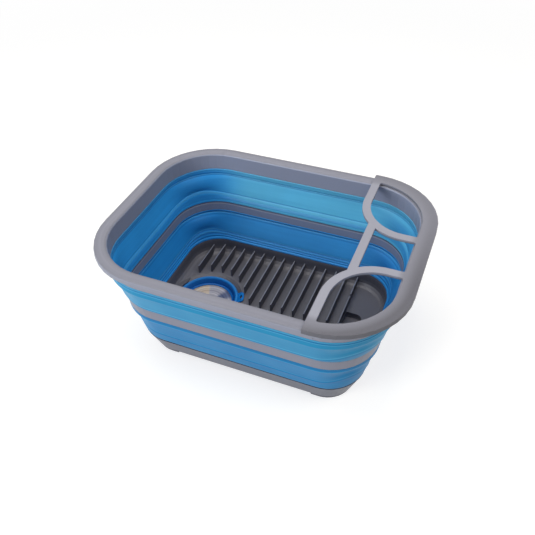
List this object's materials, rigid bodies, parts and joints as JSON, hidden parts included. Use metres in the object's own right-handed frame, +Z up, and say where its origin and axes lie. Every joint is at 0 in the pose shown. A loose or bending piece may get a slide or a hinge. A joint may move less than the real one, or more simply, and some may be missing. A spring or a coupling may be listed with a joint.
{
  "type": "collapsible washbasin",
  "caption": "Rectangular camp basin whose two rubber wall bands fold flat between rigid rings, with a ribbed base, a drain plug and a clip-on utensil organiser.",
  "frame": {"origin": "on the ground, under the middle of the open basin, between the four feet", "axes": "+Z up out of the open basin, +X along its length towards the end that carries the organiser, +Y towards the rear long side"},
  "size_m": [0.3742, 0.282, 0.1743],
  "materials": {
    "rim_plastic": "fine satin",
    "ring_plastic": "fine satin",
    "base_plastic": "satin",
    "organiser_plastic": "fine satin",
    "blue_rubber": "smooth satin",
    "blue_rubber_low": "smooth satin",
    "plug_rubber": "smooth, slightly glossy",
    "foot_rubber": "matte",
    "plate_steel": "turned in fine rings"
  },
  "bodies": {
    "base": {"base_tray": "base_plastic", "lower_fold_wall": "blue_rubber_low", "foot_pad_front_left": "foot_rubber", "foot_pad_front_right": "foot_rubber", "foot_pad_rear_left": "foot_rubber", "foot_pad_rear_right": "foot_rubber"},
    "middle": {"middle_ring": "ring_plastic", "upper_fold_wall": "blue_rubber"},
    "rim": {"rim_frame": "rim_plastic"},
    "organiser": {"cutlery_organiser": "organiser_plastic"},
    "plug": {"drain_plug": "plug_rubber", "plug_plate": "plate_steel"}
  },
  "joints": [
    {"name": "lower_collapse", "type": "slide", "parent": "base", "child": "middle", "axis": [0, 0, 1], "range_m": [-0.06, 0], "deforming": ["lower_fold_wall"]},
    {"name": "upper_collapse", "type": "slide", "parent": "middle", "child": "rim", "axis": [0, 0, 1], "range_m": [-0.059, 0], "deforming": ["upper_fold_wall"]},
    {"name": "organiser_lift", "type": "slide", "parent": "rim", "child": "organiser", "axis": [0, 0, 1], "range_m": [0, 0.06]},
    {"name": "plug_lift", "type": "slide", "parent": "base", "child": "plug", "axis": [0, 0, 1], "range_m": [0, 0.2]}
  ]
}
